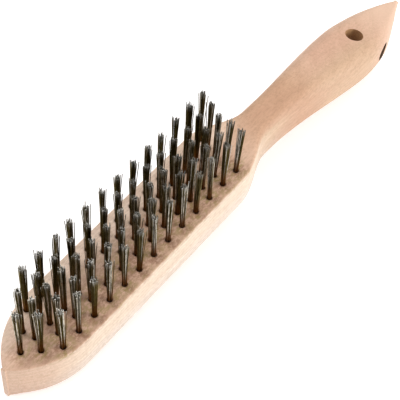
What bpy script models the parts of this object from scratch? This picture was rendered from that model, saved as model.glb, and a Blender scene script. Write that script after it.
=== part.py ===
"""Wooden hand wire brush, lying on its back with the wires up.

The frame: +X runs from the nose to the tail of the handle, +Z is up.
The origin is at the middle of the length and width, on the bench.
The shape is drawn with the back of the block flat at zero height. Because the handle
bends down past that back, the brush lies on its nose and its tail, and an empty,
rest_pose, leans the whole drawing to suit.
One-piece beech body, five rows of staple-set steel wire tufts, two hanging bores.
"""
import math

import bmesh
import bpy
from mathutils import Vector

# Beech body, metres
LENGTH = 0.297
THICKNESS = 0.0225
NOSE_X = -LENGTH / 2
TAIL_X = LENGTH / 2
BLOCK_HALF_WIDTH = 0.0170
NECK_HALF_WIDTH = 0.0086
GRIP_HALF_WIDTH = 0.0145
NOSE_LENGTH = 0.033
SHOULDER_START = -0.0095
SHOULDER_END = 0.0205
NECK_END = 0.0265
GRIP_X = 0.1000
TIP_HALF_WIDTH = 0.0012

# The handle bends down from the shoulder, away from the wires, then runs straight
BEND_START = SHOULDER_START
BEND_END = 0.0650
HANDLE_SLOPE = math.radians(11.5)

# Edge rounding of the body, seen in a cut across it
BLOCK_FACE_EDGE = 0.0008
BLOCK_BACK_EDGE = 0.0030
GRIP_EDGE = 0.0075
EDGE_GROWTH_START = -0.0055
EDGE_GROWTH_END = 0.0415
TIP_EDGE = 0.0007
EDGE_SHARE_OF_WIDTH = 0.55
EDGE_STEPS = 3

# Hanging bores, placed as the brush lies
FACE_BORE_X = 0.1060
FACE_BORE_RADIUS = 0.0045
SIDE_BORE_X = 0.1188
SIDE_BORE_Z = 0.0148
SIDE_BORE_RADIUS = 0.0045
BORE_SIDES = 24
CUT_MARGIN = 0.002

# Wire tufts: five rows, which begin on a slanted line at the handle end. The spread of a
# row is how much wider its gaps grow toward the nose.
ROW_SPACING = 0.0058
PITCH = 0.00966
LAST_COLUMN_X = -0.0076
COLUMN_SLANT = 0.14
OUTER_ROW = {"tufts": 13, "first": 0.0, "last": -12.0 * PITCH, "spread": 0.0}
INNER_ROW = {"tufts": 14, "first": -0.09 * PITCH, "last": -12.8 * PITCH, "spread": 0.12}
MIDDLE_ROW = {"tufts": 15, "first": -0.24 * PITCH, "last": -13.5 * PITCH, "spread": -0.04}
TUFTS_PER_STRIP = 3
TRIM_HEIGHT = 0.0310
HOLE_DEPTH = 0.012
TUFT_SIDES = 8
TUFT_RADIUS = 0.00125
TIP_RADIUS = 0.0016
CLEARANCE = 0.0003

# Flat anchor wire that holds the fold of a tuft down
ANCHOR_HALF_LENGTH = 0.0019
ANCHOR_HALF_THICKNESS = 0.0004
ANCHOR_HEIGHT = 0.0018
FOLD_HEIGHT = 0.0020
STRIP_HALF_THICKNESS = 0.00025
STRIP_INSET = 0.0003


def clear_scene():
    for item in list(bpy.data.objects):
        bpy.data.objects.remove(item, do_unlink=True)


def make_material(name, colour, roughness, metallic=0.0):
    material = bpy.data.materials.new(name)
    material.use_nodes = True
    shader = material.node_tree.nodes["Principled BSDF"]
    shader.inputs["Base Color"].default_value = (*colour, 1.0)
    shader.inputs["Roughness"].default_value = roughness
    shader.inputs["Metallic"].default_value = metallic
    return material


def add_object(name, mesh, parent, material, smooth_angle=40.0):
    mesh.materials.append(material)
    mesh.shade_smooth()
    mesh.set_sharp_from_angle(angle=math.radians(smooth_angle))
    item = bpy.data.objects.new(name, mesh)
    item.parent = parent
    bpy.context.collection.objects.link(item)
    return item


def add_cutter(name, mesh, parent=None):
    item = bpy.data.objects.new(name, mesh)
    item.parent = parent
    bpy.context.collection.objects.link(item)
    item.hide_render = True
    item.display_type = "WIRE"
    return item


def apply_boolean(item, tool, operation):
    modifier = item.modifiers.new(f"{operation.lower()}_{tool.name}", "BOOLEAN")
    modifier.operation = operation
    modifier.solver = "EXACT"
    modifier.object = tool


def ease(position, start, end):
    """0 before start, 1 after end, and a smooth S between them."""
    share = min(max((position - start) / (end - start), 0.0), 1.0)
    return share * share * (3.0 - 2.0 * share)


def mix(first, second, share):
    return first + (second - first) * share


def ogive(distance, reach, half_width):
    """Half width of a pointed end, at a distance from where its arc begins."""
    radius = (reach * reach + half_width * half_width) / (2.0 * half_width)
    return half_width - radius + math.sqrt(max(radius * radius - distance * distance, 0.0))


def half_width(x):
    nose_start = NOSE_X + NOSE_LENGTH
    if x < nose_start:
        return ogive(nose_start - x, NOSE_LENGTH, BLOCK_HALF_WIDTH)
    if x > GRIP_X:
        return ogive(x - GRIP_X, TAIL_X - GRIP_X, GRIP_HALF_WIDTH)
    shoulder = mix(BLOCK_HALF_WIDTH, NECK_HALF_WIDTH, ease(x, SHOULDER_START, SHOULDER_END))
    return mix(shoulder, GRIP_HALF_WIDTH, ease(x, NECK_END, GRIP_X))


def handle_drop(x):
    """How far the handle has bent down from the line of the block."""
    radius = (BEND_END - BEND_START) / math.sin(HANDLE_SLOPE)
    along_arc = min(max(x - BEND_START, 0.0), BEND_END - BEND_START)
    arc_drop = radius - math.sqrt(radius * radius - along_arc * along_arc)
    return arc_drop + max(x - BEND_END, 0.0) * math.tan(HANDLE_SLOPE)


def even_steps(start, end, count):
    return [mix(start, end, step / count) for step in range(count)]


def stations():
    """Places along X where the outline has a point, from nose to tail."""
    places = even_steps(NOSE_X, NOSE_X + NOSE_LENGTH, 10)[1:]
    places += [NOSE_X + NOSE_LENGTH]
    places += even_steps(SHOULDER_START, SHOULDER_END, 10)
    places += [SHOULDER_END]
    places += even_steps(NECK_END, GRIP_X, 12)
    places += even_steps(GRIP_X, TAIL_X, 10)
    return places


def edge_radius(x, block_edge):
    wanted = mix(block_edge, GRIP_EDGE, ease(x, EDGE_GROWTH_START, EDGE_GROWTH_END))
    return max(min(wanted, EDGE_SHARE_OF_WIDTH * half_width(x)), TIP_EDGE)


def outline():
    """Closed outline of the body in plan, nose first and counterclockwise from below."""
    side = [Vector((x, half_width(x))) for x in stations()]
    near_side = [Vector((NOSE_X, -TIP_HALF_WIDTH))]
    near_side += [Vector((point.x, -point.y)) for point in side]
    near_side += [Vector((TAIL_X, -TIP_HALF_WIDTH))]
    far_side = [Vector((point.x, -point.y)) for point in reversed(near_side)]
    return near_side + far_side


def outward(points, index):
    """Outward direction of the outline at one of its points."""
    before = points[index - 1]
    after = points[(index + 1) % len(points)]
    along = (after - before).normalized()
    return Vector((along.y, -along.x))


def body_rings():
    """Rings of points from the back to the face, rounded at both edges."""
    points = outline()
    quarter = [math.radians(90.0 * step / EDGE_STEPS) for step in range(EDGE_STEPS + 1)]
    levels = [("back", angle) for angle in reversed(quarter)]
    levels += [("face", angle) for angle in quarter]
    rings = []
    for edge, angle in levels:
        ring = []
        for index, point in enumerate(points):
            block_edge = BLOCK_BACK_EDGE if edge == "back" else BLOCK_FACE_EDGE
            radius = edge_radius(point.x, block_edge)
            inset = radius * (1.0 - math.cos(angle))
            drop = radius * (1.0 - math.sin(angle))
            spot = point - outward(points, index) * inset
            height = drop if edge == "back" else THICKNESS - drop
            ring.append((spot.x, spot.y, height - handle_drop(point.x)))
        rings.append(ring)
    return rings


def body_caps():
    """Corners of the faces that close a body ring: the flat block, then the bent handle."""
    points = outline()
    last = len(points) - 1
    side_count = len(points) // 2
    block_count = sum(1 for point in points[:side_count] if point.x <= BEND_START)
    caps = [list(range(block_count)) + list(range(last + 1 - block_count, last + 1))]
    for index in range(block_count - 1, side_count - 1):
        caps.append([index, index + 1, last - index - 1, last - index])
    return caps


def skin_rings(name, ring_sets, caps=None):
    """One mesh that holds a closed skin over each set of rings, first ring lowest."""
    mesh = bpy.data.meshes.new(name)
    shape = bmesh.new()
    for rings in ring_sets:
        rows = [[shape.verts.new(spot) for spot in ring] for ring in rings]
        count = len(rows[0])
        for lower, upper in zip(rows, rows[1:]):
            for index in range(count):
                following = (index + 1) % count
                corners = (lower[index], lower[following], upper[following], upper[index])
                shape.faces.new(corners)
        for cap in caps or [list(range(count))]:
            shape.faces.new([rows[0][index] for index in reversed(cap)])
            shape.faces.new([rows[-1][index] for index in cap])
    bmesh.ops.recalc_face_normals(shape, faces=shape.faces[:])
    shape.to_mesh(mesh)
    shape.free()
    return mesh


def oval_ring(x, y, height, half_x, half_y):
    ring = []
    for step in range(TUFT_SIDES):
        angle = 2.0 * math.pi * (step + 0.5) / TUFT_SIDES
        ring.append((x + half_x * math.cos(angle), y + half_y * math.sin(angle), height))
    return ring


def tuft_rings(x, y, gap=0.0):
    """A tuft with its pinched fold and anchor; gap widens it into the pocket for it."""
    floor = THICKNESS - HOLE_DEPTH
    anchor_top = floor + CLEARANCE + ANCHOR_HEIGHT + gap
    fold_top = anchor_top + FOLD_HEIGHT
    long_half = ANCHOR_HALF_LENGTH + gap
    thin_half = ANCHOR_HALF_THICKNESS + gap
    round_half = TUFT_RADIUS + gap
    rings = [
        oval_ring(x, y, floor + CLEARANCE - gap, long_half, thin_half),
        oval_ring(x, y, anchor_top, long_half, thin_half),
        oval_ring(x, y, fold_top, round_half, round_half),
    ]
    if gap:
        rings.append(oval_ring(x, y, THICKNESS + CUT_MARGIN, round_half, round_half))
        return rings
    rings.append(oval_ring(x, y, THICKNESS, round_half, round_half))
    rings.append(oval_ring(x, y, THICKNESS + TRIM_HEIGHT, TIP_RADIUS, TIP_RADIUS))
    return rings


def row_spots(row, y):
    """Foot of each tuft of a row, from the handle end to the nose."""
    slanted_x = LAST_COLUMN_X + COLUMN_SLANT * y
    start = slanted_x + row["first"]
    end = slanted_x + row["last"]
    spots = []
    for index in range(row["tufts"]):
        share = index / (row["tufts"] - 1)
        share -= row["spread"] * share * (1.0 - share)
        spots.append((mix(start, end, share), y))
    return spots


def brush_rows():
    """Rows from the +Y side to the -Y side, as a name and its tufts' feet."""
    return [
        ("left_outer", row_spots(OUTER_ROW, 2.0 * ROW_SPACING)),
        ("left_inner", row_spots(INNER_ROW, ROW_SPACING)),
        ("middle", row_spots(MIDDLE_ROW, 0.0)),
        ("right_inner", row_spots(INNER_ROW, -ROW_SPACING)),
        ("right_outer", row_spots(OUTER_ROW, -2.0 * ROW_SPACING)),
    ]


def box_mesh(name, low, high):
    corners = [(low[0], low[1]), (high[0], low[1]), (high[0], high[1]), (low[0], high[1])]
    rings = [[(x, y, height) for x, y in corners] for height in (low[2], high[2])]
    return skin_rings(name, [rings])


def strip_mesh(name, spots, gap=0.0):
    """The anchor strip under neighbouring tufts of the middle row; gap makes its slot."""
    floor = THICKNESS - HOLE_DEPTH + CLEARANCE
    half_y = STRIP_HALF_THICKNESS + gap
    xs = [x for x, _ in spots]
    low = (min(xs), spots[0][1] - half_y, floor + STRIP_INSET - gap)
    high = (max(xs), spots[0][1] + half_y, floor + ANCHOR_HEIGHT - STRIP_INSET + gap)
    return box_mesh(name, low, high)


def cylinder_mesh(name, start, end, radius):
    """A cylinder with flat ends, between two points on a line along Y or Z."""
    axis = (end - start).normalized()
    across = Vector((1.0, 0.0, 0.0))
    upward = axis.cross(across)
    rings = []
    for centre in (start, end):
        ring = []
        for step in range(BORE_SIDES):
            angle = 2.0 * math.pi * step / BORE_SIDES
            spot = centre + across * radius * math.cos(angle) + upward * radius * math.sin(angle)
            ring.append(tuple(spot))
        rings.append(ring)
    return skin_rings(name, [rings])


def build_bore_cutters():
    reach = GRIP_HALF_WIDTH + CUT_MARGIN
    face_start = Vector((FACE_BORE_X, 0.0, -CUT_MARGIN))
    face_end = Vector((FACE_BORE_X, 0.0, 2.0 * THICKNESS))
    face_bore = cylinder_mesh("face_bore", face_start, face_end, FACE_BORE_RADIUS)
    side_start = Vector((SIDE_BORE_X, -reach, SIDE_BORE_Z))
    side_end = Vector((SIDE_BORE_X, reach, SIDE_BORE_Z))
    side_bore = cylinder_mesh("side_bore", side_start, side_end, SIDE_BORE_RADIUS)
    return [add_cutter("face_bore", face_bore), add_cutter("side_bore", side_bore)]


def add_rest_pose():
    """The empty that leans the drawing until its nose and tail both touch the bench."""
    rest_pose = bpy.data.objects.new("rest_pose", None)
    bpy.context.collection.objects.link(rest_pose)
    rest_pose.rotation_euler.y = -math.atan2(handle_drop(TAIL_X), LENGTH)
    lean = rest_pose.rotation_euler.to_matrix()
    spots = [lean @ Vector(spot) for ring in body_rings() for spot in ring]
    xs = [spot.x for spot in spots]
    lowest = min(spot.z for spot in spots)
    rest_pose.location = (-(min(xs) + max(xs)) / 2.0, 0.0, -lowest)
    return rest_pose


def strip_groups(spots):
    """The middle row's tufts, split into runs that share an anchor strip."""
    return [spots[start:start + TUFTS_PER_STRIP] for start in range(0, len(spots), TUFTS_PER_STRIP)]


def build_body(rest_pose, material):
    skin = skin_rings("beech_body", [body_rings()], body_caps())
    body = add_object("beech_body", skin, rest_pose, material)
    pockets = []
    for name, spots in brush_rows():
        pockets += [tuft_rings(x, y, CLEARANCE) for x, y in spots]
        if name != "middle":
            continue
        for number, group in enumerate(strip_groups(spots), 1):
            slot_name = f"strip_slot_{number}"
            slot = add_cutter(slot_name, strip_mesh(slot_name, group, CLEARANCE), rest_pose)
            apply_boolean(body, slot, "DIFFERENCE")
    pocket_cutter = add_cutter("tuft_pockets", skin_rings("tuft_pockets", pockets), rest_pose)
    apply_boolean(body, pocket_cutter, "DIFFERENCE")
    for cutter in build_bore_cutters():
        apply_boolean(body, cutter, "DIFFERENCE")


def build_single_tufts(name, spots, rest_pose, material):
    for number, (x, y) in enumerate(spots, 1):
        tuft_name = f"wire_tuft_{name}_{number:02d}"
        add_object(tuft_name, skin_rings(tuft_name, [tuft_rings(x, y)]), rest_pose, material)


def build_middle_tufts(spots, rest_pose, material):
    for number, group in enumerate(strip_groups(spots), 1):
        name = f"wire_tufts_middle_{number}"
        skin = skin_rings(name, [tuft_rings(x, y) for x, y in group])
        tufts = add_object(name, skin, rest_pose, material)
        strip_name = f"anchor_strip_{number}"
        strip = add_cutter(strip_name, strip_mesh(strip_name, group), rest_pose)
        apply_boolean(tufts, strip, "UNION")


def main():
    clear_scene()
    beech = make_material("beech", (0.72, 0.50, 0.31), 0.60)
    steel = make_material("steel_wire", (0.36, 0.35, 0.34), 0.38, metallic=1.0)
    rest_pose = add_rest_pose()
    build_body(rest_pose, beech)
    for name, spots in brush_rows():
        if name == "middle":
            build_middle_tufts(spots, rest_pose, steel)
        else:
            build_single_tufts(name, spots, rest_pose, steel)


main()
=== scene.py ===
"""The looks of the hand wire brush: beech body, tufts of single steel wires, and a white studio."""
import math

import bmesh
import bpy
import numpy as np
from mathutils import Matrix, Vector, noise


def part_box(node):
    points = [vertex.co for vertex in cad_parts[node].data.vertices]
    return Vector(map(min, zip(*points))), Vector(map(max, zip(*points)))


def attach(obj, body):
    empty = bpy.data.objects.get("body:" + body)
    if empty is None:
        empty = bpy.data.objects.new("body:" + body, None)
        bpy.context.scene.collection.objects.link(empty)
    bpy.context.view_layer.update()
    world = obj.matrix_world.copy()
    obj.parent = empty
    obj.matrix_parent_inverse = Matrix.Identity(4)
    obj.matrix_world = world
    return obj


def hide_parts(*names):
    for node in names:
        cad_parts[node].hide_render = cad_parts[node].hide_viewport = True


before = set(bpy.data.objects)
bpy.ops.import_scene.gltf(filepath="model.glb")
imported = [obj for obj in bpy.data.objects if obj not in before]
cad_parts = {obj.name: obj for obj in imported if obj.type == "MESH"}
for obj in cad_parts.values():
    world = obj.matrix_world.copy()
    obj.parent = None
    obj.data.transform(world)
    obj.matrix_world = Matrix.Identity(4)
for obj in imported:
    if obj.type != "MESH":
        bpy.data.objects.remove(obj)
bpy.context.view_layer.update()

# The body's drawing, in metres: the back of the block is flat at zero height
LENGTH = 0.297
THICKNESS = 0.0225
NOSE_X = -LENGTH / 2
TAIL_X = LENGTH / 2
BLOCK_HALF_WIDTH = 0.0170
NECK_HALF_WIDTH = 0.0086
GRIP_HALF_WIDTH = 0.0145
NOSE_LENGTH = 0.033
SHOULDER_START = -0.0095
SHOULDER_END = 0.0205
NECK_END = 0.0265
GRIP_X = 0.1000
TIP_HALF_WIDTH = 0.0012
BEND_START = SHOULDER_START
BEND_END = 0.0650
HANDLE_SLOPE = math.radians(11.5)

# Rounding of its edges
BLOCK_FACE_EDGE = 0.0008
BLOCK_BACK_EDGE = 0.0030
GRIP_EDGE = 0.0075
EDGE_GROWTH_START = -0.0055
EDGE_GROWTH_END = 0.0415
TIP_EDGE = 0.0007
EDGE_SHARE_OF_WIDTH = 0.55

# Hanging bores, placed as the brush lies
FACE_BORE_X = 0.1060
SIDE_BORE_X = 0.1188
SIDE_BORE_Z = 0.0148
BORE_RADIUS = 0.0045
BORE_EDGE_BREAK = 0.0006
BORE_MOUTH_FLARE = 0.0004

# Their cutters: how far they reach past the wood or from its middle, and how far inside
# its widest line the rounded side begins at the side bore's height
FACE_BORE_OVERRUN = 0.0040
SIDE_BORE_REACH = 0.0220
SIDE_BORE_INSET = 0.0008

# How often surface_height() moves its place in the drawing to end up at the wanted x
PLACING_ROUNDS = 4

# How finely the body is meshed
NOSE_STEPS = 36
BLOCK_STEPS = 90
SHOULDER_STEPS = 34
NECK_STEPS = 60
TAIL_STEPS = 44
EDGE_STEPS = 7
WALL_STEPS = 6
CAP_COLUMNS = 20
HOLE_SIDES = 20
BORE_SIDES = 56
SHARP_BODY_ANGLE = math.radians(38.0)

# Unevenness from sanding: how many waves to a metre, and how far they move the surface
SLOW_WAVES = 28.0
SLOW_REACH = 0.00012
FINE_WAVES = 95.0
FINE_REACH = 0.00004
NOISE_OFFSETS = (Vector((5.3, 1.7, 9.1)), Vector((23.9, 31.3, 17.7)), Vector((47.1, 53.9, 41.3)))

# Tufts and their holes. TRIM_SLANT is how much the tips rise for each metre toward +Y
TRIM_HEIGHT = 0.0310
TRIM_SLANT = 0.16
HOLE_RADIUS = 0.00126
HOLE_DEPTH = 0.0060
HOLE_RIM_DEPTH = 0.00035
HOLE_RIM_FLARE = 0.00010
HOLE_RIM_RAGGED = 0.00006
HOLE_OVERRUN = 0.00100
WIRES_PER_TUFT = 28
STRAY_WIRES = 3
WIRE_RADIUS = 0.00018
WIRE_SIDES = 5
WIRE_ROOT_DEPTH = 0.0040
SHARP_WIRE_ANGLE = math.radians(75.0)

# Shares of a wire's height: where its tube has rings, and up to where its hole holds it
WIRE_LEVELS = (0.0, 0.13, 0.26, 0.42, 0.58, 0.74, 0.88, 1.0)
HELD_SHARE = 0.12

# How the wires of a tuft are laid out and how they differ. Lengths are in metres
GOLDEN_ANGLE = 2.39996
BUNDLE_RADIUS = 0.00102
TIP_SPREAD = 1.42
SPREAD_POWER = 1.35
TUFT_LEAN = 0.00028
TIP_SCATTER = 0.00024
WIRE_BOW = 0.00009
TRIM_ERROR = 0.00035
LARGEST_TRIM_ERROR = 0.0013
TONE_RANGE = 0.10
TONE_SHIFT = -0.01
# painted light: tufts toward -Y, the lit side, get a higher tone
PAINTED_LIGHT_PER_METRE = -9.0
CUT_SLANT = 0.10
TURN_ERROR = 0.25
SPREAD_RANGE = (0.8, 1.2)
STRAY_SPREAD_RANGE = (1.5, 2.1)
STRAY_SCATTER = 2.0
STRAY_EXTRA_LENGTH = (-0.0004, 0.0008)
SEED = 41

# A CAD node's tufts are told apart by gaps of TUFT_SPACE between points near its top
TIP_DEPTH = 0.0002
TUFT_SPACE = 0.0020


def ease(position, start, end):
    """0 before start, 1 after end, and a smooth S between them."""
    share = min(max((position - start) / (end - start), 0.0), 1.0)
    return share * share * (3.0 - 2.0 * share)


def mix(first, second, share):
    return first + (second - first) * share


# ---------------------------------------------------------------- the body's shape

def ogive(distance, reach, half_width):
    """Half width of a pointed end, at a distance from where its arc begins."""
    radius = (reach * reach + half_width * half_width) / (2.0 * half_width)
    return half_width - radius + math.sqrt(max(radius * radius - distance * distance, 0.0))


def half_width(x):
    """Half the body's width, through the nose, block, shoulder, neck, grip and tail."""
    nose_start = NOSE_X + NOSE_LENGTH
    if x < nose_start:
        return ogive(nose_start - x, NOSE_LENGTH, BLOCK_HALF_WIDTH)
    if x > GRIP_X:
        return ogive(x - GRIP_X, TAIL_X - GRIP_X, GRIP_HALF_WIDTH)
    shoulder = mix(BLOCK_HALF_WIDTH, NECK_HALF_WIDTH, ease(x, SHOULDER_START, SHOULDER_END))
    return mix(shoulder, GRIP_HALF_WIDTH, ease(x, NECK_END, GRIP_X))


def handle_drop(x):
    """How far the handle has bent down from the line of the block."""
    radius = (BEND_END - BEND_START) / math.sin(HANDLE_SLOPE)
    along_arc = min(max(x - BEND_START, 0.0), BEND_END - BEND_START)
    arc_drop = radius - math.sqrt(radius * radius - along_arc * along_arc)
    return arc_drop + max(x - BEND_END, 0.0) * math.tan(HANDLE_SLOPE)


def edge_radius(x, block_edge):
    """The rounding of an edge, which grows from the block to the grip and fits the tips."""
    wanted = mix(block_edge, GRIP_EDGE, ease(x, EDGE_GROWTH_START, EDGE_GROWTH_END))
    return max(min(wanted, EDGE_SHARE_OF_WIDTH * half_width(x)), TIP_EDGE)


def even_steps(start, end, count):
    return [mix(start, end, step / count) for step in range(count)]


def stations():
    """Where the body's cross sections stand, between the nose and the tail."""
    places = even_steps(NOSE_X, NOSE_X + NOSE_LENGTH, NOSE_STEPS)[1:]
    places += even_steps(NOSE_X + NOSE_LENGTH, SHOULDER_START, BLOCK_STEPS)
    places += even_steps(SHOULDER_START, NECK_END, SHOULDER_STEPS)
    places += even_steps(NECK_END, GRIP_X, NECK_STEPS)
    places += even_steps(GRIP_X, TAIL_X, TAIL_STEPS)
    return places


def outline():
    """Closed outline of the body in plan, nose first and counterclockwise."""
    near_side = [Vector((NOSE_X, -TIP_HALF_WIDTH))]
    near_side += [Vector((x, -half_width(x))) for x in stations()]
    near_side += [Vector((TAIL_X, -TIP_HALF_WIDTH))]
    far_side = [Vector((point.x, -point.y)) for point in reversed(near_side)]
    return near_side + far_side


def outward(points, index):
    """The way out of the outline at one of its points."""
    along = (points[(index + 1) % len(points)] - points[index - 1]).normalized()
    return Vector((along.y, -along.x))


def section_levels():
    """Steps from the back up to the face: which edge, its angle, and how far up the wall."""
    quarter = [math.radians(90.0 * step / EDGE_STEPS) for step in range(EDGE_STEPS + 1)]
    levels = [("back", angle, 0.0) for angle in reversed(quarter)]
    levels += [("wall", 0.0, step / WALL_STEPS) for step in range(1, WALL_STEPS)]
    levels += [("face", angle, 1.0) for angle in quarter]
    return levels


def body_ring(points, level):
    """One level of the body's skin: the outline drawn in by the rounding, and bent."""
    edge, angle, share = level
    ring = []
    for index, point in enumerate(points):
        back_radius = edge_radius(point.x, BLOCK_BACK_EDGE)
        face_radius = edge_radius(point.x, BLOCK_FACE_EDGE)
        radius = back_radius if edge == "back" else face_radius
        drop = radius * (1.0 - math.sin(angle))
        height = drop if edge == "back" else THICKNESS - drop
        inset = radius * (1.0 - math.cos(angle))
        if edge == "wall":
            height = mix(back_radius, THICKNESS - face_radius, share)
            inset = 0.0
        spot = point - outward(points, index) * inset
        ring.append(Vector((spot.x, spot.y, height - handle_drop(point.x))))
    return ring


def rest_pose(rings):
    """The lean that puts the drawing on its nose and its tail, centred over the origin."""
    lean = Matrix.Rotation(-math.atan2(handle_drop(TAIL_X), LENGTH), 4, "Y")
    spots = [lean @ spot for ring in rings for spot in ring]
    xs = [spot.x for spot in spots]
    lowest = min(spot.z for spot in spots)
    return Matrix.Translation((-(min(xs) + max(xs)) / 2.0, 0.0, -lowest)) @ lean


def skin_wall(shape, rows):
    """Faces between each closed row of points and the next."""
    count = len(rows[0])
    for lower, upper in zip(rows, rows[1:]):
        for index in range(count):
            following = (index + 1) % count
            shape.faces.new((lower[index], lower[following], upper[following], upper[index]))


def skin_cap(shape, ring):
    """A grid of faces between the two sides of a ring, with one face at each pointed end."""
    side_count = len(ring) // 2
    rows = []
    for index in range(1, side_count - 1):
        near, far = ring[index], ring[-1 - index]
        shares = [column / CAP_COLUMNS for column in range(1, CAP_COLUMNS)]
        inner = [shape.verts.new(near.co.lerp(far.co, share)) for share in shares]
        rows.append([near, *inner, far])
    for first, second in zip(rows, rows[1:]):
        for column in range(CAP_COLUMNS):
            corners = (first[column], second[column], second[column + 1], first[column + 1])
            shape.faces.new(corners)
    shape.faces.new([ring[0], *rows[0], ring[-1]])
    shape.faces.new([ring[side_count - 1], *rows[-1], ring[side_count]])


def steady_noise(spot):
    """Three values of the plain noise, which is the same in every run."""
    return Vector([noise.noise(spot + offset) for offset in NOISE_OFFSETS])


def soften(spot):
    """Slow unevenness that hand sanding leaves in a machined blank."""
    slow = steady_noise(spot * SLOW_WAVES) * SLOW_REACH
    fine = steady_noise(spot * FINE_WAVES) * FINE_REACH
    return spot + slow + fine


def body_mesh(rings):
    mesh = bpy.data.meshes.new("beech_body")
    shape = bmesh.new()
    rows = [[shape.verts.new(spot) for spot in ring] for ring in rings]
    skin_wall(shape, rows)
    skin_cap(shape, rows[0])
    skin_cap(shape, rows[-1])
    for vert in shape.verts:
        vert.co = soften(vert.co)
    bmesh.ops.recalc_face_normals(shape, faces=shape.faces[:])
    shape.to_mesh(mesh)
    shape.free()
    mesh.shade_smooth()
    return mesh


def turned_ring(centre, across, upward, radius, sides, rng=None, ragged=0.0):
    """A circle of points, which a random generator can make ragged."""
    ring = []
    for step in range(sides):
        angle = 2.0 * math.pi * step / sides
        reach = radius + (rng.uniform(-ragged, ragged) if rng is not None else 0.0)
        ring.append(centre + across * reach * math.cos(angle) + upward * reach * math.sin(angle))
    return ring


def add_plug(shape, rings):
    """A closed plug over a stack of rings."""
    rows = [[shape.verts.new(spot) for spot in ring] for ring in rings]
    skin_wall(shape, rows)
    shape.faces.new(list(reversed(rows[0])))
    shape.faces.new(rows[-1])


def tuft_hole_rings(x, y, rng):
    """A blind hole with a slightly broken rim."""
    across, upward = Vector((1.0, 0.0, 0.0)), Vector((0.0, 1.0, 0.0))
    levels = [
        (THICKNESS - HOLE_DEPTH, HOLE_RADIUS, 0.0),
        (THICKNESS - HOLE_RIM_DEPTH, HOLE_RADIUS, 0.0),
        (THICKNESS, HOLE_RADIUS + HOLE_RIM_FLARE, HOLE_RIM_RAGGED),
        (THICKNESS + HOLE_OVERRUN, HOLE_RADIUS + 3.0 * HOLE_RIM_FLARE, HOLE_RIM_RAGGED),
    ]
    rings = []
    for height, radius, ragged in levels:
        centre = Vector((x, y, height))
        rings.append(turned_ring(centre, across, upward, radius, HOLE_SIDES, rng, ragged))
    return rings


def bore_rings(start, end, start_surface, end_surface):
    """A through bore with a softly broken edge at both mouths."""
    axis = (end - start).normalized()
    across = Vector((1.0, 0.0, 0.0))
    upward = axis.cross(across)
    inward = axis * BORE_EDGE_BREAK
    clear = axis * (BORE_MOUTH_FLARE / 2.0)
    stack = [
        (start, BORE_RADIUS + 3.0 * BORE_MOUTH_FLARE),
        (start_surface - clear, BORE_RADIUS + BORE_MOUTH_FLARE),
        (start_surface + inward, BORE_RADIUS),
        (end_surface - inward, BORE_RADIUS),
        (end_surface + clear, BORE_RADIUS + BORE_MOUTH_FLARE),
        (end, BORE_RADIUS + 3.0 * BORE_MOUTH_FLARE),
    ]
    return [turned_ring(centre, across, upward, radius, BORE_SIDES) for centre, radius in stack]


def plug_object(name, ring_sets, material):
    """A cutter whose material is left on the walls that it cuts."""
    mesh = bpy.data.meshes.new(name)
    shape = bmesh.new()
    for rings in ring_sets:
        add_plug(shape, rings)
    bmesh.ops.recalc_face_normals(shape, faces=shape.faces[:])
    shape.to_mesh(mesh)
    shape.free()
    mesh.shade_smooth()
    mesh.materials.append(material)
    item = bpy.data.objects.new(name, mesh)
    bpy.context.scene.collection.objects.link(item)
    return item


def cut(item, cutters):
    """Cuts the cutters out of the item for good, and removes them."""
    for cutter in cutters:
        modifier = item.modifiers.new(cutter.name, "BOOLEAN")
        modifier.operation = "DIFFERENCE"
        modifier.solver = "EXACT"
        modifier.material_mode = "TRANSFER"
        modifier.object = cutter
    bpy.context.view_layer.update()
    graph = bpy.context.evaluated_depsgraph_get()
    finished = bpy.data.meshes.new_from_object(item.evaluated_get(graph), depsgraph=graph)
    item.modifiers.clear()
    item.data = finished
    for cutter in cutters:
        bpy.data.objects.remove(cutter, do_unlink=True)
    finished.set_sharp_from_angle(angle=SHARP_BODY_ANGLE)


# ---------------------------------------------------------------- tufts, from the CAD model

def tip_centres(node):
    """Where the tufts of a CAD node stand in the drawing, from the rings at their tips."""
    spots = [TO_DRAWING @ vert.co for vert in node.data.vertices]
    top = max(spot.z for spot in spots)
    tips = sorted((spot for spot in spots if spot.z > top - TIP_DEPTH), key=lambda spot: spot.x)
    groups = [[tips[0]]]
    for spot in tips[1:]:
        if spot.x - groups[-1][-1].x > TUFT_SPACE:
            groups.append([])
        groups[-1].append(spot)
    centres = []
    for group in groups:
        xs = [spot.x for spot in group]
        ys = [spot.y for spot in group]
        centres.append(Vector(((min(xs) + max(xs)) / 2.0, (min(ys) + max(ys)) / 2.0, 0.0)))
    return centres


def wire_spine(centre, start, tip, bend, top):
    """Points up one wire, from inside its hole to its cut end."""
    bottom = THICKNESS - WIRE_ROOT_DEPTH
    spine = []
    for share in WIRE_LEVELS:
        height = mix(bottom, top, share)
        free = max((share - HELD_SHARE) / (1.0 - HELD_SHARE), 0.0)
        offset = start + (tip - start) * free ** SPREAD_POWER + bend * math.sin(math.pi * free)
        spine.append((Vector((centre.x + offset.x, centre.y + offset.y, height)), share))
    return spine


def scattered(rng, amount):
    return Vector((rng.normal(0.0, amount), rng.normal(0.0, amount)))


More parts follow.
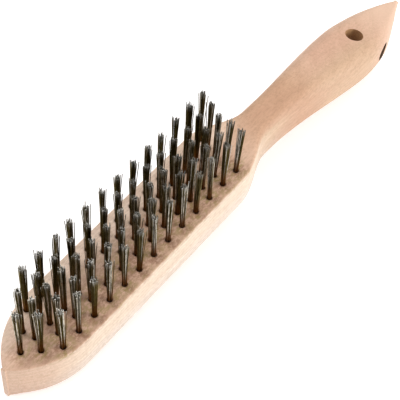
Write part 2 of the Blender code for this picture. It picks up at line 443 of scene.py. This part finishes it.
def tuft_wires(centre, rng):
    """Spine and shade of each wire of one tuft. The last few wires stray from the bundle."""
    turn = rng.uniform(0.0, 2.0 * math.pi)
    # each tuft's random tone, plus painted light toward -Y
    tuft_tone_and_light = rng.uniform(-TONE_RANGE, TONE_RANGE) + centre.y * PAINTED_LIGHT_PER_METRE + TONE_SHIFT
    lean = scattered(rng, TUFT_LEAN)
    slant = scattered(rng, CUT_SLANT)
    trim = THICKNESS + TRIM_HEIGHT + TRIM_SLANT * centre.y
    wires = []
    for number in range(WIRES_PER_TUFT):
        reach = BUNDLE_RADIUS * math.sqrt((number + 0.5) / WIRES_PER_TUFT)
        angle = turn + number * GOLDEN_ANGLE + rng.uniform(-TURN_ERROR, TURN_ERROR)
        start = Vector((math.cos(angle), math.sin(angle))) * reach
        scatter = scattered(rng, TIP_SCATTER)
        tip = start * (TIP_SPREAD * rng.uniform(*SPREAD_RANGE)) + lean + scatter
        longer = rng.normal(0.0, TRIM_ERROR) + slant.dot(tip)
        if number >= WIRES_PER_TUFT - STRAY_WIRES:
            tip = start * rng.uniform(*STRAY_SPREAD_RANGE) + lean + scatter * STRAY_SCATTER
            longer += rng.uniform(*STRAY_EXTRA_LENGTH)
        bend = scattered(rng, WIRE_BOW)
        top = trim + min(max(longer, -LARGEST_TRIM_ERROR), LARGEST_TRIM_ERROR)
        wires.append((wire_spine(centre, start, tip, bend, top), rng.uniform(0.0, 1.0) + tuft_tone_and_light))
    return wires


def add_wire(spots, faces, spine):
    """One wire as a closed tube round its spine."""
    first = len(spots)
    for middle, _ in spine:
        for side in range(WIRE_SIDES):
            angle = 2.0 * math.pi * side / WIRE_SIDES
            spots.append(middle + Vector((math.cos(angle), math.sin(angle), 0.0)) * WIRE_RADIUS)
    last = first + (len(spine) - 1) * WIRE_SIDES
    for low in range(first, last, WIRE_SIDES):
        high = low + WIRE_SIDES
        for side in range(WIRE_SIDES):
            following = (side + 1) % WIRE_SIDES
            faces.append((low + side, low + following, high + following, high + side))
    faces.append(tuple(range(last, last + WIRE_SIDES)))
    faces.append(tuple(range(first + WIRE_SIDES - 1, first - 1, -1)))


def tuft_mesh(name, centres, rng):
    """All the wires of a node's tufts in one mesh, with each wire's shade and height."""
    spots, faces, tones, heights = [], [], [], []
    for centre in centres:
        for spine, tone in tuft_wires(centre, rng):
            add_wire(spots, faces, spine)
            for _, share in spine:
                tones += [tone] * WIRE_SIDES
                heights += [share] * WIRE_SIDES
    mesh = bpy.data.meshes.new(name)
    mesh.from_pydata(spots, [], faces)
    mesh.attributes.new("wire_tone_and_light", "FLOAT", "POINT").data.foreach_set("value", tones)
    mesh.attributes.new("wire_share", "FLOAT", "POINT").data.foreach_set("value", heights)
    mesh.shade_smooth()
    mesh.set_sharp_from_angle(angle=SHARP_WIRE_ANGLE)
    return mesh


# ---------------------------------------------------------------- materials

# Linear colours of the wood, clean and used, and of the light and shade painted on it
BEECH_PINK = (0.665, 0.436, 0.308)
BEECH_BROWN = (0.625, 0.388, 0.276)
# Side walls of the block: paler saw-cut grain with painted light in it; the lower colour adds painted
# bounce light from the floor
SAWN_AND_LIT_UPPER = (0.790, 0.690, 0.555)
SAWN_AND_BOUNCE_LIT_LOWER = (0.770, 0.720, 0.660)
# Painted light: the block's face made paler on its +Y side
FACE_PAINTED_LIGHT = (0.870, 0.710, 0.580)
STREAK = (0.500, 0.300, 0.200)
LATE_WOOD = (0.460, 0.265, 0.170)
RAY_FLECK = (0.340, 0.180, 0.105)
FIBRE = (0.380, 0.230, 0.135)
SPECKLE = (0.330, 0.215, 0.120)
OLIVE_DIRT = (0.290, 0.205, 0.052)
RED_DIRT = (0.285, 0.135, 0.070)
# Staining and painted shade round the mouth of each tuft hole
HOLE_STAIN_AND_SHADE = (0.120, 0.050, 0.022)
# Painted light: the tail of the handle made paler
TAIL_PAINTED_LIGHT = (0.740, 0.515, 0.375)
FACE_BORE_WALL = ((0.430, 0.245, 0.112), (0.400, 0.215, 0.096))
# Painted shade: the side bore's walls far darker than the face bore's
SIDE_BORE_SHADE = ((0.110, 0.060, 0.028), (0.070, 0.036, 0.018))
BORE_RING = (0.170, 0.080, 0.036)
# Scorched wood and painted shade in the tuft holes
TUFT_HOLE_SCORCH_AND_SHADE = ((0.090, 0.038, 0.018), (0.035, 0.016, 0.009))

# Painted shade multiplied into the wood of the neck and both halves of the grip
NECK_SHADE = (0.840, 0.775, 0.690)
NEAR_GRIP_SHADE = (0.910, 0.940, 0.870)
FAR_GRIP_SHADE = (0.990, 0.970, 0.960)

# How strongly each layer of the wood's looks covers what is under it
STREAK_SHARE = 0.34
LATE_WOOD_SHARE = 0.18
FLECK_SHARE = 0.40
FIBRE_SHARE = 0.26
SPECKLE_SHARE = 0.22
DIRT_SHARE = 0.78
# how strongly the staining and painted shade cover the hole mouths
STAIN_AND_SHADE_SHARE = 0.70
# how strongly the painted light covers the tail
TAIL_LIGHT_SHARE = 0.60

# Waves of each pattern to a metre, along x, y and z
GRAIN_WARP_WAVES = (7.0, 45.0, 45.0)
STREAK_WAVES = (26.0, 520.0, 520.0)
FIBRE_WAVES = (150.0, 2600.0, 2600.0)
FLECK_WAVES = (300.0, 1900.0, 1900.0)
PATCH_WAVES = (22.0, 60.0, 60.0)
SPECKLE_WAVES = (620.0, 900.0, 900.0)
DUST_WAVES = (420.0, 620.0, 620.0)
MOTTLE_WAVES = (130.0, 260.0, 260.0)
BORE_PATCH_WAVES = (240.0, 240.0, 240.0)
BORE_RING_WAVES = (900.0, 900.0, 2600.0)
HOLE_GRIT_WAVES = (1500.0, 1500.0, 1500.0)
STEEL_SCALE_WAVES = (1100.0, 1100.0, 300.0)
FLOOR_WAVES = (3.0, 3.0, 3.0)

# Growth rings round a pith that lies under the board and drifts across it
PITH_Y = -0.012
PITH_Z = -0.060
PITH_DRIFT = 0.045
RING_WARP = 0.0042
RING_WIDTH = 0.0026

# Linear colours of the steel
DARK_STEEL = (0.036, 0.028, 0.010)
GREY_STEEL = (0.150, 0.122, 0.070)
BRIGHT_STEEL = (0.620, 0.590, 0.540)
STEEL_SCALE = (0.046, 0.031, 0.010)
STEEL_FOOT = (0.165, 0.066, 0.016)
CUT_STEEL = (0.450, 0.450, 0.440)
STEEL_GLANCE = (0.800, 0.720, 0.500, 1.0)

# Stretches along the drawing where the wood, or the light and shade painted on it, changes: start,
# full, fading and end
PALE_SIDES = (-0.146, -0.112, 0.005, 0.050)
NECK_STRETCH = (-0.004, 0.022, 0.046, 0.074)
GRIP_STRETCH = (0.046, 0.074, 0.100, 0.125)
PALE_AT_NOSE = 0.20
PALE_ON_BLOCK = 0.85

# Fades along the drawing, from where a change is absent to where it is full
# where the painted light on the tail fades in
TAIL_LIGHT_FADE = (0.108, 0.138)
# where the painted light on the block's face ends, toward the neck
FACE_LIGHT_END = (0.030, 0.000)

# Fades across it, between two values of y
# the next two: painted light on the block's face, fading in toward +Y, and its strength
FACE_LIGHT_FADE = (-0.004, 0.014)
FACE_LIGHT_SHARE = 0.85
# more dust toward -Y, partly as painted shade of the tufts on the face
DUST_AND_SHADE_FADE = (0.012, -0.008)
LEAST_DUST_AND_SHADE = 0.10
# painted shade on the grip, fading from its -Y side to its +Y side
GRIP_SHADE_FADE = (-0.010, 0.003)

# Fades between two heights of the drawing
# painted bounce light from the floor, fading in toward the bottom of the side walls
SAWN_AND_BOUNCE_FADE = (0.014, 0.003)
# heights over which the painted light on the block's face fades in
FACE_LIGHT_HEIGHTS = (THICKNESS - 0.0060, THICKNESS - 0.0030)
DUST_HEIGHTS = (THICKNESS - 0.0030, THICKNESS - 0.0012)
RUST_HEIGHTS = (THICKNESS + 0.0130, THICKNESS + 0.0015)

# Fades between two distances from the middle of a tuft
DUST_REACH = (0.0088, 0.0026)
# reach of the staining and painted shade round each tuft hole
STAIN_AND_SHADE_REACH = (0.0022, 0.0012)

# How much of a normal points up or down where the surface counts as flat, and as a side wall
FLAT_AND_STEEP = (0.90, 0.15)

# Depth of the relief that the bump maps show
BEECH_RELIEF = 0.00012
BORE_RELIEF = 0.00012
HOLE_RELIEF = 0.00008
STEEL_RELIEF = 0.00004

# Sockets of the Mix node, whose names repeat for each kind of value
MIX_FACTOR = 0
MIX_FIRST_COLOUR = 6
MIX_SECOND_COLOUR = 7
MIX_COLOUR_RESULT = 2


class Graph:
    """Short calls that build a material out of nodes."""

    def __init__(self, name):
        self.material = bpy.data.materials.new(name)
        self.material.use_nodes = True
        self.nodes = self.material.node_tree.nodes
        self.links = self.material.node_tree.links
        self.shader = self.nodes["Principled BSDF"]

    def put(self, socket, value):
        """Links a value into a socket, or sets it there. None leaves the socket as it is."""
        if isinstance(value, bpy.types.NodeSocket):
            self.links.new(value, socket)
        elif value is not None:
            socket.default_value = value

    def coordinates(self, pose=None):
        """Where the surface is: in the row frame, or in the drawing if its pose is given."""
        place = self.nodes.new("ShaderNodeTexCoord").outputs["Object"]
        if pose is None:
            return place
        node = self.nodes.new("ShaderNodeMapping")
        node.vector_type = "TEXTURE"
        self.put(node.inputs["Vector"], place)
        node.inputs["Location"].default_value = pose.to_translation()
        node.inputs["Rotation"].default_value = pose.to_euler()
        return node.outputs["Vector"]

    def steepness(self):
        """0 where the surface faces up or down, 1 where it is a side wall."""
        normal = self.nodes.new("ShaderNodeTexCoord").outputs["Normal"]
        upward = self.math("ABSOLUTE", self.split(normal)[2])
        return self.remap(upward, *FLAT_AND_STEEP)

    def attribute(self, name):
        node = self.nodes.new("ShaderNodeAttribute")
        node.attribute_name = name
        return node.outputs["Fac"]

    def math(self, operation, first, second=None):
        node = self.nodes.new("ShaderNodeMath")
        node.operation = operation
        self.put(node.inputs[0], first)
        self.put(node.inputs[1], second)
        return node.outputs[0]

    def plus(self, first, second):
        return self.math("ADD", first, second)

    def minus(self, first, second):
        return self.math("SUBTRACT", first, second)

    def times(self, first, second):
        return self.math("MULTIPLY", first, second)

    def split(self, vector):
        node = self.nodes.new("ShaderNodeSeparateXYZ")
        self.put(node.inputs[0], vector)
        return node.outputs

    def stretch(self, vector, scale):
        node = self.nodes.new("ShaderNodeVectorMath")
        node.operation = "MULTIPLY"
        self.put(node.inputs[0], vector)
        self.put(node.inputs[1], scale)
        return node.outputs[0]

    def noise(self, place, waves, detail=2.0, roughness=0.5):
        """Clouds from 0 to 1, with so many waves to a metre along each axis."""
        node = self.nodes.new("ShaderNodeTexNoise")
        self.put(node.inputs["Vector"], self.stretch(place, waves))
        node.inputs["Scale"].default_value = 1.0
        node.inputs["Detail"].default_value = detail
        node.inputs["Roughness"].default_value = roughness
        return node.outputs["Fac"]

    def cells(self, place, waves):
        """How far a point is from the middle of its cell, and the cell's own random value."""
        node = self.nodes.new("ShaderNodeTexVoronoi")
        self.put(node.inputs["Vector"], self.stretch(place, waves))
        node.inputs["Scale"].default_value = 1.0
        return node.outputs["Distance"], self.split(node.outputs["Color"])[0]

    def remap(self, value, low, high, to_low=0.0, to_high=1.0):
        """A smooth fade from one value to another, which may also run downward."""
        node = self.nodes.new("ShaderNodeMapRange")
        node.interpolation_type = "SMOOTHSTEP"
        self.put(node.inputs["Value"], value)
        node.inputs["From Min"].default_value = low
        node.inputs["From Max"].default_value = high
        node.inputs["To Min"].default_value = to_low
        node.inputs["To Max"].default_value = to_high
        return node.outputs["Result"]

    def blend(self, share, first, second, mode="MIX"):
        node = self.nodes.new("ShaderNodeMix")
        node.data_type = "RGBA"
        node.blend_type = mode
        self.put(node.inputs[MIX_FACTOR], share)
        self.put(node.inputs[MIX_FIRST_COLOUR], self.colour(first))
        self.put(node.inputs[MIX_SECOND_COLOUR], self.colour(second))
        return node.outputs[MIX_COLOUR_RESULT]

    def colour(self, value):
        return (*value, 1.0) if isinstance(value, tuple) and len(value) == 3 else value

    def bump(self, height, distance, strength):
        node = self.nodes.new("ShaderNodeBump")
        node.inputs["Distance"].default_value = distance
        node.inputs["Strength"].default_value = strength
        self.put(node.inputs["Height"], height)
        self.put(self.shader.inputs["Normal"], node.outputs["Normal"])


def bowed(graph, share, spread):
    """A share of a row's length, with its middle shifted by the row's spread."""
    middle = graph.times(share, graph.minus(1.0, share))
    return graph.minus(share, graph.times(middle, spread))


def tuft_distance(graph, x, y, rows):
    """Distance from a point on the face to the middle of the nearest tuft."""
    nearest = None
    for row_y, first, length, gaps, spread in rows:
        share = graph.math("DIVIDE", graph.minus(x, first), length)
        step = graph.times(bowed(graph, share, -spread), gaps)
        step = graph.math("MINIMUM", graph.math("MAXIMUM", graph.math("ROUND", step), 0.0), gaps)
        tuft_share = bowed(graph, graph.math("DIVIDE", step, gaps), spread)
        off_x = graph.times(graph.minus(share, tuft_share), length)
        off_y = graph.minus(y, row_y)
        square = graph.plus(graph.math("POWER", off_x, 2.0), graph.math("POWER", off_y, 2.0))
        distance = graph.math("SQRT", square)
        nearest = distance if nearest is None else graph.math("MINIMUM", nearest, distance)
    return nearest


def growth_rings(graph, place):
    """The darker late wood of each ring, from 0 to 1."""
    x, y, z = graph.split(place)[:3]
    warp = graph.noise(place, GRAIN_WARP_WAVES)
    drifted_y = graph.plus(y, graph.times(x, PITH_DRIFT))
    square = graph.plus(
        graph.math("POWER", graph.plus(drifted_y, -PITH_Y), 2.0),
        graph.math("POWER", graph.plus(z, -PITH_Z), 2.0),
    )
    radius = graph.plus(graph.math("SQRT", square), graph.times(warp, RING_WARP))
    rings = graph.math("FRACT", graph.math("DIVIDE", radius, RING_WIDTH))
    return graph.remap(rings, 0.35, 0.97)


def wood_pattern(graph, place):
    """Streaks, fibres, late wood and ray flecks of beech, each from 0 to 1."""
    streak = graph.noise(place, STREAK_WAVES, detail=4.0, roughness=0.62)
    fibre = graph.noise(place, FIBRE_WAVES, detail=3.0, roughness=0.6)
    distance, pick = graph.cells(place, FLECK_WAVES)
    flecks = graph.times(graph.remap(distance, 0.34, 0.12), graph.remap(pick, 0.35, 0.60))
    return streak, fibre, growth_rings(graph, place), flecks


def stretch_of(graph, x, stretch):
    """1 along a stretch of the brush, fading to 0 before and after it."""
    start, full, fading, end = stretch
    return graph.times(graph.remap(x, start, full), graph.remap(x, end, fading))


def sawn_and_lit_side(graph, x):
    """Where the block's side walls are paler, partly from their saw-cut grain and partly as painted
    light, least at the nose.
    """
    start, full, fading, end = PALE_SIDES
    from_nose = graph.remap(x, start, full, PALE_AT_NOSE, PALE_ON_BLOCK)
    along = graph.times(graph.remap(x, end, fading), from_nose)
    return graph.times(graph.steepness(), along)


def painted_light_on_face(graph, x, y, z):
    """Where painted light brightens the block's face, on its +Y side."""
    across = graph.remap(y, *FACE_LIGHT_FADE, 0.0, FACE_LIGHT_SHARE)
    on_block = graph.times(across, graph.remap(x, *FACE_LIGHT_END))
    return graph.times(on_block, graph.remap(z, *FACE_LIGHT_HEIGHTS))


def plain_wood_and_light(graph, place):
    """The wood before grain and dirt: paler on the block's side walls, partly from their saw-cut grain
    and partly as painted light, and with painted light on the +Y side of the face.
    """
    x, y, z = graph.split(place)[:3]
    patches = graph.noise(place, PATCH_WAVES, detail=3.0, roughness=0.55)
    colour = graph.blend(graph.remap(patches, 0.30, 0.70), BEECH_PINK, BEECH_BROWN)
    # painted light on the side walls, with painted floor bounce toward their bottom
    sawn_and_lit = graph.blend(graph.remap(z, *SAWN_AND_BOUNCE_FADE), SAWN_AND_LIT_UPPER, SAWN_AND_BOUNCE_LIT_LOWER)
    colour = graph.blend(sawn_and_lit_side(graph, x), colour, sawn_and_lit)
    # painted light on the +Y side of the block's face
    return graph.blend(painted_light_on_face(graph, x, y, z), colour, FACE_PAINTED_LIGHT)


def grained(graph, place, colour, pattern):
    """The wood with its streaks, late wood, ray flecks, open fibres and specks."""
    streak, fibre, late, flecks = pattern
    colour = graph.blend(graph.remap(streak, 0.25, 0.75, 0.0, STREAK_SHARE), colour, STREAK)
    colour = graph.blend(graph.times(late, LATE_WOOD_SHARE), colour, LATE_WOOD)
    colour = graph.blend(graph.times(flecks, FLECK_SHARE), colour, RAY_FLECK)
    colour = graph.blend(graph.remap(fibre, 0.30, 0.70, 0.0, FIBRE_SHARE), colour, FIBRE)
    speckle = graph.noise(place, SPECKLE_WAVES, roughness=0.6)
    return graph.blend(graph.remap(speckle, 0.46, 0.66, 0.0, SPECKLE_SHARE), colour, SPECKLE)


def dirtied(graph, place, colour, rows):
    """Dust round the tufts, heavier toward -Y partly as painted shade, and staining with painted shade
    at their holes: the new colour, and how much dust and shade it has.
    """
    x, y, z = graph.split(place)[:3]
    on_face = graph.remap(z, *DUST_HEIGHTS)
    distance = tuft_distance(graph, x, y, rows)
    dust = graph.noise(place, DUST_WAVES, detail=4.0, roughness=0.70)
    dust_and_shade = graph.times(graph.remap(distance, *DUST_REACH), graph.remap(dust, 0.38, 0.58))
    # painted shade: the dust is heavier toward -Y, where the tufts' shade falls
    dust_and_shade = graph.times(dust_and_shade, graph.remap(y, *DUST_AND_SHADE_FADE, LEAST_DUST_AND_SHADE, 1.0))
    dust_and_shade = graph.times(dust_and_shade, on_face)
    mottle = graph.noise(place, MOTTLE_WAVES, roughness=0.6)
    dirt = graph.blend(graph.remap(mottle, 0.40, 0.60), OLIVE_DIRT, RED_DIRT)
    colour = graph.blend(graph.times(dust_and_shade, DIRT_SHARE), colour, dirt)
    # a dark ring round each tuft hole: staining and painted shade of the recess
    stain_and_shade = graph.times(graph.remap(distance, *STAIN_AND_SHADE_REACH), graph.remap(dust, 0.20, 0.60))
    stain_and_shade = graph.times(stain_and_shade, on_face)
    return graph.blend(graph.times(stain_and_shade, STAIN_AND_SHADE_SHARE), colour, HOLE_STAIN_AND_SHADE), dust_and_shade


def shade_and_light_on_handle(graph, place, colour):
    """The neck and the grip darkened by painted shade, most on the grip's -Y side, and the tail
    lightened by painted light.
    """
    x, y = graph.split(place)[:2]
    # painted shade on the neck and the grip, deeper on the grip's -Y side
    colour = graph.blend(stretch_of(graph, x, NECK_STRETCH), colour, NECK_SHADE, "MULTIPLY")
    grip_shade = graph.blend(graph.remap(y, *GRIP_SHADE_FADE), NEAR_GRIP_SHADE, FAR_GRIP_SHADE)
    colour = graph.blend(stretch_of(graph, x, GRIP_STRETCH), colour, grip_shade, "MULTIPLY")
    # painted light on the tail
    return graph.blend(graph.remap(x, *TAIL_LIGHT_FADE, 0.0, TAIL_LIGHT_SHARE), colour, TAIL_PAINTED_LIGHT)


def beech_material(rows):
    graph = Graph("beech")
    place = graph.coordinates(POSE)
    pattern = wood_pattern(graph, place)
    streak, fibre, _, flecks = pattern
    colour = grained(graph, place, plain_wood_and_light(graph, place), pattern)
    colour, dust_and_shade = dirtied(graph, place, colour, rows)
    graph.put(graph.shader.inputs["Base Color"], shade_and_light_on_handle(graph, place, colour))
    rough = graph.plus(graph.remap(fibre, 0.2, 0.8, 0.50, 0.66), graph.times(dust_and_shade, 0.10))
    graph.put(graph.shader.inputs["Roughness"], rough)
    height = graph.plus(graph.times(fibre, 0.55), graph.times(streak, 0.45))
    graph.bump(graph.minus(height, graph.times(flecks, 0.5)), BEECH_RELIEF, 0.6)
    return graph.material


def bore_material(name, wall_colours):
    """Scorched wood inside a drilled hole, in the wall colours given; those of the side bore are
    painted shade.
    """
    graph = Graph(name)
    place = graph.coordinates(POSE)
    rings = graph.noise(place, BORE_RING_WAVES, detail=3.0, roughness=0.6)
    patches = graph.noise(place, BORE_PATCH_WAVES)
    colour = graph.blend(graph.remap(patches, 0.3, 0.7), *wall_colours)
    colour = graph.blend(graph.remap(rings, 0.4, 0.7, 0.0, 0.5), colour, BORE_RING)
    graph.put(graph.shader.inputs["Base Color"], colour)
    graph.shader.inputs["Roughness"].default_value = 0.85
    graph.bump(rings, BORE_RELIEF, 0.6)
    return graph.material


def hole_material():
    """The dark wall of a tuft hole: scorched wood with painted shade."""
    graph = Graph("tuft_hole")
    place = graph.coordinates(POSE)
    grit = graph.noise(place, HOLE_GRIT_WAVES)
    graph.put(graph.shader.inputs["Base Color"], graph.blend(grit, *TUFT_HOLE_SCORCH_AND_SHADE))
    graph.shader.inputs["Roughness"].default_value = 0.9
    graph.bump(grit, HOLE_RELIEF, 0.5)
    return graph.material


def steel_material():
    """Oxide-dark drawn wire with bright strands, browned at the foot, bright where it is cut, and
    lighter on the -Y rows as painted light.
    """
    graph = Graph("steel_wire")
    place = graph.coordinates(POSE)
    tone = graph.attribute("wire_tone_and_light")
    share = graph.attribute("wire_share")
    z = graph.split(place)[2]
    scale = graph.noise(place, STEEL_SCALE_WAVES, detail=3.0, roughness=0.6)
    # the tone holds each wire's own shade and painted light on the -Y rows
    colour = graph.blend(graph.remap(tone, 0.30, 0.80), DARK_STEEL, GREY_STEEL)
    colour = graph.blend(graph.remap(tone, 0.74, 0.90), colour, BRIGHT_STEEL)
    colour = graph.blend(graph.remap(scale, 0.42, 0.70, 0.0, 0.75), colour, STEEL_SCALE)
    foot = graph.times(graph.remap(z, *RUST_HEIGHTS), 0.85)
    colour = graph.blend(foot, colour, STEEL_FOOT)
    colour = graph.blend(graph.remap(share, 0.90, 1.0, 0.0, 0.40), colour, CUT_STEEL)
    graph.put(graph.shader.inputs["Base Color"], colour)
    graph.shader.inputs["Metallic"].default_value = 1.0
    graph.shader.inputs["Specular Tint"].default_value = STEEL_GLANCE
    graph.put(graph.shader.inputs["Roughness"], graph.remap(scale, 0.3, 0.7, 0.26, 0.50))
    graph.bump(scale, STEEL_RELIEF, 0.4)
    return graph.material


def floor_material():
    """Matt white with a faint glow of its own, for an even ground."""
    graph = Graph("studio_floor")
    cloud = graph.noise(graph.coordinates(), FLOOR_WAVES)
    graph.put(graph.shader.inputs["Base Color"], graph.blend(cloud, *FLOOR_WHITES))
    graph.shader.inputs["Roughness"].default_value = 0.9
    graph.shader.inputs["Emission Color"].default_value = (1.0, 1.0, 1.0, 1.0)
    graph.shader.inputs["Emission Strength"].default_value = FLOOR_GLOW
    return graph.material


# ---------------------------------------------------------------- the pieces

def row_table(centres):
    """For each row of tufts: its y, first x, length, number of gaps, and spread."""
    rows = {}
    for centre in centres:
        rows.setdefault(round(centre.y, 4), []).append(centre.x)
    table = []
    for row_y, xs in sorted(rows.items()):
        xs.sort()
        length, gaps = xs[-1] - xs[0], len(xs) - 1
        middle = gaps // 2
        share = middle / gaps
        spread = (share - (xs[middle] - xs[0]) / length) / (share * (1.0 - share))
        table.append((row_y, xs[0], length, float(gaps), spread))
    return table


def surface_height(x, drawn_height):
    """How high a level of the drawing lies over the bench at x, on the handle."""
    drawn_x = x
    for _ in range(PLACING_ROUNDS):
        spot = POSE @ Vector((drawn_x, 0.0, drawn_height - handle_drop(drawn_x)))
        drawn_x += x - spot.x
    return (POSE @ Vector((drawn_x, 0.0, drawn_height - handle_drop(drawn_x)))).z


def bore_ring_sets():
    """Both hanging bores, as the brush lies."""
    low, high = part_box("beech_body")
    face = bore_rings(
        Vector((FACE_BORE_X, 0.0, low.z - FACE_BORE_OVERRUN)),
        Vector((FACE_BORE_X, 0.0, high.z + FACE_BORE_OVERRUN)),
        Vector((FACE_BORE_X, 0.0, surface_height(FACE_BORE_X, 0.0))),
        Vector((FACE_BORE_X, 0.0, surface_height(FACE_BORE_X, THICKNESS))),
    )
    wall = half_width(SIDE_BORE_X) - SIDE_BORE_INSET
    side = bore_rings(
        Vector((SIDE_BORE_X, -SIDE_BORE_REACH, SIDE_BORE_Z)),
        Vector((SIDE_BORE_X, SIDE_BORE_REACH, SIDE_BORE_Z)),
        Vector((SIDE_BORE_X, -wall, SIDE_BORE_Z)),
        Vector((SIDE_BORE_X, wall, SIDE_BORE_Z)),
    )
    return [face, side]


def build_body(centres, rng):
    """The fine body with its holes and bores cut, over the CAD body."""
    mesh = body_mesh(RINGS)
    mesh.materials.append(beech_material(row_table(centres)))
    body = bpy.data.objects.new("beech_body_fine", mesh)
    bpy.context.scene.collection.objects.link(body)
    hole_rings = [tuft_hole_rings(centre.x, centre.y, rng) for centre in centres]
    holes = plug_object("tuft_holes", hole_rings, hole_material())
    face_rings, side_rings = bore_ring_sets()
    face_bore = plug_object("face_bore", [face_rings], bore_material("face_bore_wood", FACE_BORE_WALL))
    # the side bore gets walls darkened by painted shade
    side_bore = plug_object("side_bore", [side_rings], bore_material("side_bore_shaded_wood", SIDE_BORE_SHADE))
    face_bore.data.transform(TO_DRAWING)
    side_bore.data.transform(TO_DRAWING)
    cut(body, [holes, face_bore, side_bore])
    body.data.transform(POSE)
    return body


def build_tufts(nodes, steel):
    """A bundle of wires in place of each tuft of the CAD model."""
    for number, node in enumerate(nodes):
        rng = np.random.default_rng(SEED + number)
        mesh = tuft_mesh(f"{node}_wires", tip_centres(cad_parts[node]), rng)
        mesh.materials.append(steel)
        mesh.transform(POSE)
        tuft = bpy.data.objects.new(f"{node}_wires", mesh)
        bpy.context.scene.collection.objects.link(tuft)
        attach(tuft, "root")
        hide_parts(node)


# ---------------------------------------------------------------- studio

CAMERA_AZIMUTH = math.radians(-59.52)
CAMERA_ELEVATION = math.radians(51.39)
CAMERA_ROLL = math.radians(9.49)
CAMERA_AIM = Vector((-0.0092, 0.0054, -0.0041))
CAMERA_DISTANCE = 0.615
CAMERA_LENS = 116.15
FLOOR_REACH = 30.0
FLOOR_GLOW = 0.29
FLOOR_WHITES = ((0.93, 0.93, 0.93), (0.95, 0.95, 0.95))
LIGHT_AIM = Vector((0.0, 0.0, 0.02))

# Strength of the white surroundings, which fade between two values of a direction's Y
NEAR_SURROUNDINGS = 0.80
FAR_SURROUNDINGS = 0.46
FALLOFF_START = -0.40
FALLOFF_END = 0.75


def add_camera():
    """The camera, turned round its aim by azimuth and elevation and then rolled."""
    azimuth, elevation, roll = CAMERA_AZIMUTH, CAMERA_ELEVATION, CAMERA_ROLL
    back = Vector((
        math.sin(azimuth) * math.cos(elevation),
        -math.cos(azimuth) * math.cos(elevation),
        math.sin(elevation),
    ))
    level_right = Vector((math.cos(azimuth), math.sin(azimuth), 0.0))
    level_up = back.cross(level_right)
    right = level_right * math.cos(roll) + level_up * math.sin(roll)
    up = level_up * math.cos(roll) - level_right * math.sin(roll)
    data = bpy.data.cameras.new("camera")
    data.lens = CAMERA_LENS
    camera = bpy.data.objects.new("camera", data)
    place = CAMERA_AIM + back * CAMERA_DISTANCE
    turn = Matrix((right, up, back)).transposed().to_4x4()
    camera.matrix_world = Matrix.Translation(place) @ turn
    bpy.context.scene.collection.objects.link(camera)
    bpy.context.scene.camera = camera


def add_area_light(name, direction, distance, size, power):
    """A round light in a direction from the brush, turned toward it."""
    data = bpy.data.lights.new(name, "AREA")
    data.shape = "DISK"
    data.size = size
    data.energy = power
    light = bpy.data.objects.new(name, data)
    way = Vector(direction).normalized()
    light.location = LIGHT_AIM + way * distance
    light.rotation_euler = way.to_track_quat("Z", "Y").to_euler()
    bpy.context.scene.collection.objects.link(light)


def add_world():
    """Even white surroundings that fall off behind the brush, on its +Y side."""
    world = bpy.data.worlds.new("studio")
    world.use_nodes = True
    nodes, links = world.node_tree.nodes, world.node_tree.links
    direction = nodes.new("ShaderNodeTexCoord").outputs["Generated"]
    parts = nodes.new("ShaderNodeSeparateXYZ")
    links.new(direction, parts.inputs[0])
    falloff = nodes.new("ShaderNodeMapRange")
    falloff.interpolation_type = "SMOOTHSTEP"
    falloff.inputs["From Min"].default_value = FALLOFF_START
    falloff.inputs["From Max"].default_value = FALLOFF_END
    falloff.inputs["To Min"].default_value = NEAR_SURROUNDINGS
    falloff.inputs["To Max"].default_value = FAR_SURROUNDINGS
    links.new(parts.outputs["Y"], falloff.inputs["Value"])
    background = nodes["Background"]
    background.inputs["Color"].default_value = (1.0, 1.0, 1.0, 1.0)
    links.new(falloff.outputs["Result"], background.inputs["Strength"])
    bpy.context.scene.world = world


def add_studio():
    """The floor, the surroundings and the lights."""
    floor_mesh = bpy.data.meshes.new("floor")
    signs = [(-1.0, -1.0), (1.0, -1.0), (1.0, 1.0), (-1.0, 1.0)]
    corners = [(FLOOR_REACH * side, FLOOR_REACH * depth, 0.0) for side, depth in signs]
    floor_mesh.from_pydata(corners, [], [(0, 1, 2, 3)])
    floor_mesh.materials.append(floor_material())
    floor = bpy.data.objects.new("floor", floor_mesh)
    bpy.context.scene.collection.objects.link(floor)
    add_world()
    add_area_light("key", direction=(0.38, -0.85, 0.42), distance=1.2, size=0.7, power=7.8)
    add_area_light("top", direction=(-0.10, 0.40, 0.95), distance=1.3, size=0.8, power=9.0)
    bpy.context.scene.view_settings.view_transform = "Standard"


RINGS = [body_ring(outline(), level) for level in section_levels()]
POSE = rest_pose(RINGS)
TO_DRAWING = POSE.inverted()
TUFT_NODES = sorted(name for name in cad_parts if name.startswith("wire_tuft"))

add_camera()
add_studio()
all_centres = []
for tuft_node in TUFT_NODES:
    all_centres += tip_centres(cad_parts[tuft_node])
fine_body = build_body(all_centres, np.random.default_rng(SEED))
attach(fine_body, "root")
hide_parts("beech_body")
build_tufts(TUFT_NODES, steel_material())
